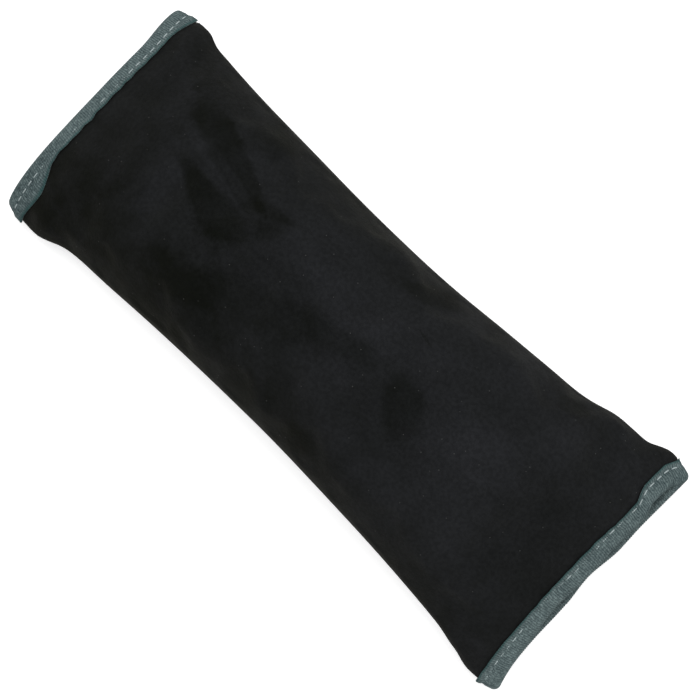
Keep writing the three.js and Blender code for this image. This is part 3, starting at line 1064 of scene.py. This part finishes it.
def seen_directly(tree):
    """1 for rays from the camera or a reflection, and 0 for the light that falls on the pad."""
    path = tree.nodes.new("ShaderNodeLightPath")
    total = path.outputs["Is Camera Ray"]
    for ray in ("Is Glossy Ray", "Is Transmission Ray"):
        add = tree.nodes.new("ShaderNodeMath")
        add.operation = "ADD"
        add.use_clamp = True
        tree.links.new(total, add.inputs[0])
        tree.links.new(path.outputs[ray], add.inputs[1])
        total = add.outputs[0]
    return total


def shader(tree, kind, key, level):
    node = tree.nodes.new(kind)
    node.inputs["Color"].default_value = (level, level, level, 1) if key == "Color" else (1, 1, 1, 1)
    if key != "Color":
        node.inputs[key].default_value = level
    return node.outputs[0]


def join_shaders(tree, kind, first, second, share=None):
    node = tree.nodes.new(kind)
    shaders = [socket for socket in node.inputs if socket.type == "SHADER"]
    tree.links.new(first, shaders[0])
    tree.links.new(second, shaders[1])
    if share is not None:
        tree.links.new(share, node.inputs["Fac"])
    return node.outputs[0]


TABLE_SIZE = 3
TABLE_GLOW = 0.5
TABLE_BOUNCE = 0.3
SKY_LIGHT = 0.62


def table():
    """A white table: its glow keeps the pad's shadow faint."""
    material = bpy.data.materials.new("white_table")
    tree = new_tree(material)
    pale = shader(tree, "ShaderNodeBsdfDiffuse", "Color", TABLE_BOUNCE)
    white = shader(tree, "ShaderNodeBsdfDiffuse", "Color", 1)
    glow = shader(tree, "ShaderNodeEmission", "Strength", TABLE_GLOW)
    bright = join_shaders(tree, "ShaderNodeAddShader", white, glow)
    surface = join_shaders(tree, "ShaderNodeMixShader", pale, bright, seen_directly(tree))
    tree.links.new(surface, tree.nodes.new("ShaderNodeOutputMaterial").inputs["Surface"])
    bm = bmesh.new()
    bmesh.ops.create_grid(bm, x_segments=1, y_segments=1, size=TABLE_SIZE)
    mesh = bpy.data.meshes.new("table")
    bm.to_mesh(mesh)
    bm.free()
    mesh.materials.append(material)
    floor = bpy.data.objects.new("table", mesh)
    bpy.context.scene.collection.objects.link(floor)


def surroundings():
    world = bpy.data.worlds.new("studio")
    tree = new_tree(world)
    dim = shader(tree, "ShaderNodeBackground", "Strength", SKY_LIGHT)
    white = shader(tree, "ShaderNodeBackground", "Strength", 1)
    surface = join_shaders(tree, "ShaderNodeMixShader", dim, white, seen_directly(tree))
    tree.links.new(surface, tree.nodes.new("ShaderNodeOutputWorld").inputs["Surface"])
    bpy.context.scene.world = world
    lamp("soft_top", place=(-0.4, 0.5, 1.6), size=1.6, power=10)
    lamp("soft_side", place=(0.9, 0.7, 1.2), size=1.2, power=4)


def lamp(name, place, size, power):
    """A round soft lamp that shines at the pad."""
    light = bpy.data.lights.new(name, "AREA")
    light.shape = "DISK"
    light.size = size
    light.energy = power
    holder = bpy.data.objects.new(name, light)
    holder.location = place
    holder.rotation_euler = (-Vector(place)).to_track_quat("-Z", "Y").to_euler()
    bpy.context.scene.collection.objects.link(holder)


CAMERA_DISTANCE = 0.9
CAMERA_LEAN_X = math.radians(7)
CAMERA_LEAN_Y = math.radians(0.9)
CAMERA_ROLL = math.radians(43.62)
CAMERA_AIM = (0.0075, 0, 0.02)
PIXELS_PER_METRE = 2423
PHOTO_PIXELS = 700
SENSOR = 36


def camera():
    """Looks down on the pad, leaning a little to its wide end, with the pad aslant in the picture."""
    lens = bpy.data.cameras.new("camera")
    lens.sensor_width = SENSOR
    lens.sensor_fit = "HORIZONTAL"
    lens.lens = SENSOR * PIXELS_PER_METRE * CAMERA_DISTANCE / PHOTO_PIXELS
    towards = Vector((
        math.sin(CAMERA_LEAN_X) * math.cos(CAMERA_LEAN_Y),
        math.sin(CAMERA_LEAN_Y),
        math.cos(CAMERA_LEAN_X) * math.cos(CAMERA_LEAN_Y),
    ))
    level = Vector((0, 1, 0)).cross(towards).normalized()
    upright = towards.cross(level)
    right = level * math.cos(CAMERA_ROLL) + upright * math.sin(CAMERA_ROLL)
    holder = bpy.data.objects.new("camera", lens)
    holder.location = Vector(CAMERA_AIM) + towards * CAMERA_DISTANCE
    holder.rotation_euler = Matrix((right, towards.cross(right), towards)).transposed().to_euler()
    bpy.context.scene.collection.objects.link(holder)
    bpy.context.scene.camera = holder


table()
surroundings()
camera()
bpy.context.scene.view_settings.view_transform = "Standard"
